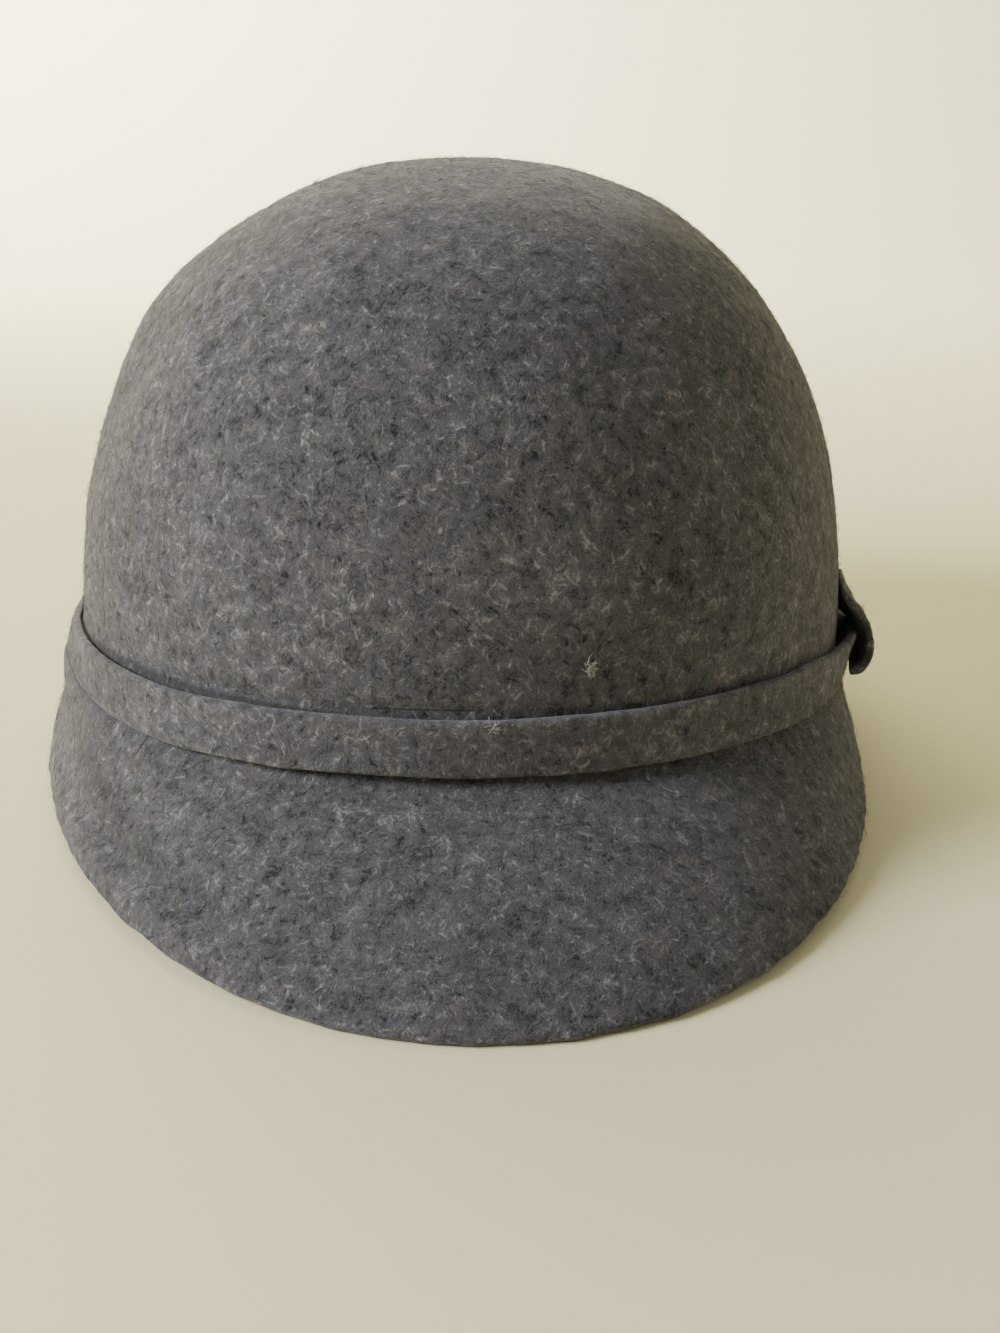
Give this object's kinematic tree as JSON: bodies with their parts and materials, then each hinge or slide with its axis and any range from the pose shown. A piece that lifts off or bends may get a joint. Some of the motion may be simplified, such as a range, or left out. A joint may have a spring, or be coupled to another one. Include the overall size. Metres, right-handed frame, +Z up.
{
  "type": "cloche hat",
  "caption": "Peaked felt cloche hat: a blocked felt hood with a deep rounded crown and a down-turned brim, a felt band at the head line and a felt loop over the band.",
  "frame": {"origin": "middle of the hat's footprint, on the surface that the brim rests on", "axes": "+Z up through the crown, -Y towards the tip of the peak, +X towards the wearer's left, the side of the band's loop"},
  "size_m": [0.1891, 0.2554, 0.1303],
  "materials": {
    "hood_felt": "matt melange wool felt, lightly brushed",
    "band_felt": "matt melange wool felt strip, cut edges",
    "loop_felt": "matt melange wool felt strip, cut edges"
  },
  "bodies": {
    "root": {"felt_hood": "hood_felt", "band": "band_felt", "band_loop": "loop_felt"}
  },
  "joints": []
}
